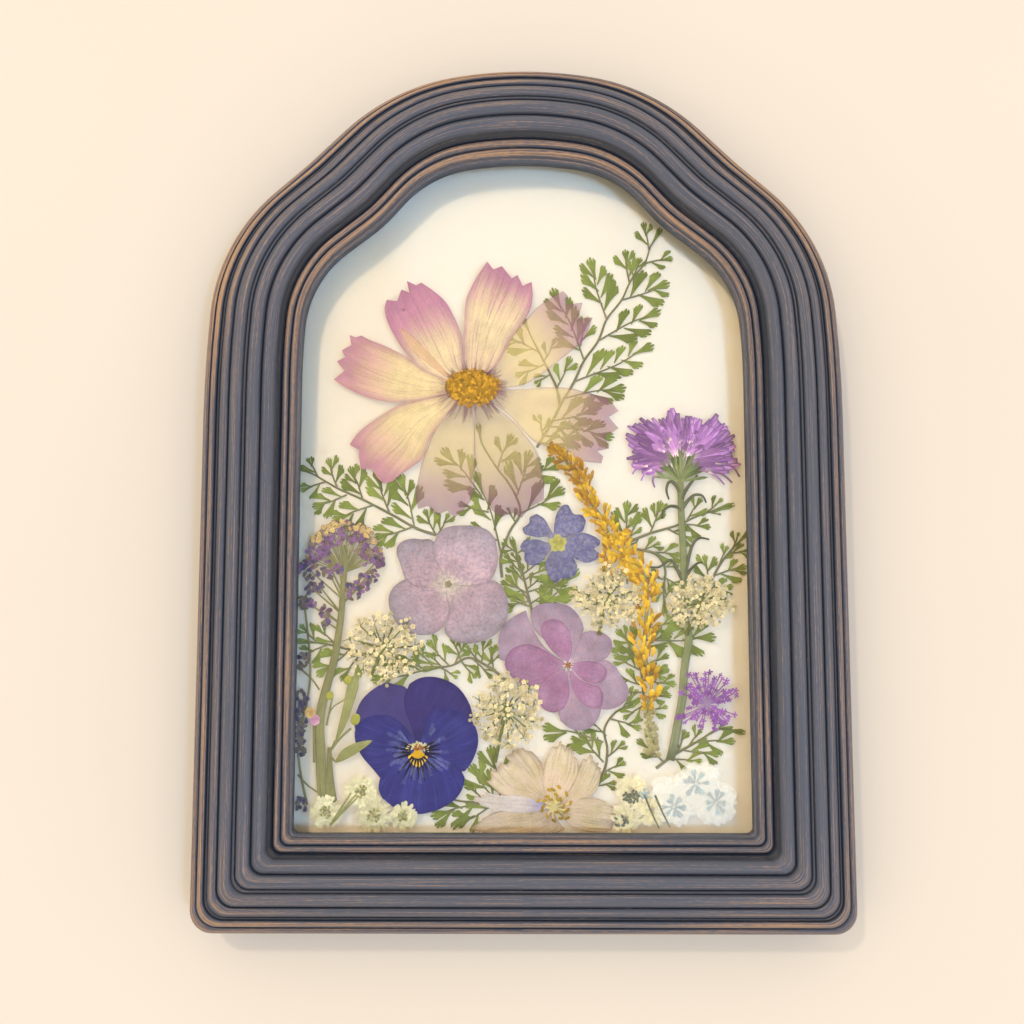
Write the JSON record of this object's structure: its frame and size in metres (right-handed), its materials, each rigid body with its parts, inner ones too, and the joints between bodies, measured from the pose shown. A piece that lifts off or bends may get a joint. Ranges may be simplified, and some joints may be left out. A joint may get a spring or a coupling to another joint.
{
  "type": "pressed flower frame",
  "caption": "Small arched picture frame with a reeded grey and bronze moulding, glazed over dried flowers, ferns and seed heads pressed flat on cream paper.",
  "frame": {"origin": "centre of the outline's bounding box, on the plane of the frame's flat back rim", "axes": "+X to the right across the picture, +Y up the picture towards the arch, +Z out of the picture through the glass"},
  "size_m": [0.132, 0.1778, 0.0172],
  "materials": {
    "frame": "slate grey paint rubbed with bronze on the crests of the reeds, satin",
    "glass": "clear float glass, polished",
    "backing_paper": "aged cream paper, matt",
    "back_board": "brown millboard, matt",
    "back_points": "plain steel, dull",
    "cosmos": "pressed flower head or stem, dry and matt, as thin as paper",
    "hydrangea_floret": "pressed flower head or stem, dry and matt, as thin as paper",
    "double_floret": "pressed flower head or stem, dry and matt, as thin as paper",
    "viola": "pressed flower head or stem, dry and matt, as thin as paper",
    "verbena": "pressed flower head or stem, dry and matt, as thin as paper",
    "larkspur": "pressed flower head or stem, dry and matt, as thin as paper",
    "aster": "pressed flower head or stem, dry and matt, as thin as paper",
    "goldenrod": "pressed flower head or stem, dry and matt, as thin as paper",
    "lace_umbel_1": "pressed flower head or stem, dry and matt, as thin as paper",
    "lace_umbel_2": "pressed flower head or stem, dry and matt, as thin as paper",
    "lace_umbel_3": "pressed flower head or stem, dry and matt, as thin as paper",
    "lace_umbel_4": "pressed flower head or stem, dry and matt, as thin as paper",
    "purple_umbel": "pressed flower head or stem, dry and matt, as thin as paper",
    "statice": "pressed flower head or stem, dry and matt, as thin as paper",
    "statice_edge": "pressed flower head or stem, dry and matt, as thin as paper",
    "cream_cluster": "pressed flower head or stem, dry and matt, as thin as paper",
    "white_cluster": "pressed flower head or stem, dry and matt, as thin as paper",
    "leaf_sprig": "pressed flower head or stem, dry and matt, as thin as paper",
    "pink_bud": "pressed flower head or stem, dry and matt, as thin as paper",
    "fern_top_right": "pressed fern, dry and matt, as thin as paper",
    "fern_upper_middle": "pressed fern, dry and matt, as thin as paper",
    "fern_centre": "pressed fern, dry and matt, as thin as paper",
    "fern_left": "pressed fern, dry and matt, as thin as paper",
    "fern_left_low": "pressed fern, dry and matt, as thin as paper",
    "fern_heart": "pressed fern, dry and matt, as thin as paper",
    "fern_low_heart": "pressed fern, dry and matt, as thin as paper",
    "fern_bottom": "pressed fern, dry and matt, as thin as paper",
    "fern_low_right": "pressed fern, dry and matt, as thin as paper",
    "fern_right_upper": "pressed fern, dry and matt, as thin as paper",
    "fern_right_middle": "pressed fern, dry and matt, as thin as paper",
    "fern_right_edge": "pressed fern, dry and matt, as thin as paper",
    "fern_behind_goldenrod": "pressed fern, dry and matt, as thin as paper",
    "fern_bottom_right": "pressed fern, dry and matt, as thin as paper"
  },
  "bodies": {
    "root": {"frame": "frame", "glass": "glass", "backing_paper": "backing_paper", "back_board": "back_board", "back_point_1": "back_points", "back_point_2": "back_points", "back_point_3": "back_points", "back_point_4": "back_points", "back_point_5": "back_points", "back_point_6": "back_points", "back_point_7": "back_points", "cosmos": "cosmos", "hydrangea_floret": "hydrangea_floret", "double_floret": "double_floret", "viola": "viola", "verbena": "verbena", "larkspur": "larkspur", "aster": "aster", "goldenrod": "goldenrod", "lace_umbel_1": "lace_umbel_1", "lace_umbel_2": "lace_umbel_2", "lace_umbel_3": "lace_umbel_3", "lace_umbel_4": "lace_umbel_4", "purple_umbel": "purple_umbel", "statice": "statice", "statice_edge": "statice_edge", "cream_cluster": "cream_cluster", "white_cluster": "white_cluster", "leaf_sprig": "leaf_sprig", "pink_bud": "pink_bud", "fern_top_right": "fern_top_right", "fern_upper_middle": "fern_upper_middle", "fern_centre": "fern_centre", "fern_left": "fern_left", "fern_left_low": "fern_left_low", "fern_heart": "fern_heart", "fern_low_heart": "fern_low_heart", "fern_bottom": "fern_bottom", "fern_low_right": "fern_low_right", "fern_right_upper": "fern_right_upper", "fern_right_middle": "fern_right_middle", "fern_right_edge": "fern_right_edge", "fern_behind_goldenrod": "fern_behind_goldenrod", "fern_bottom_right": "fern_bottom_right"}
  },
  "joints": []
}
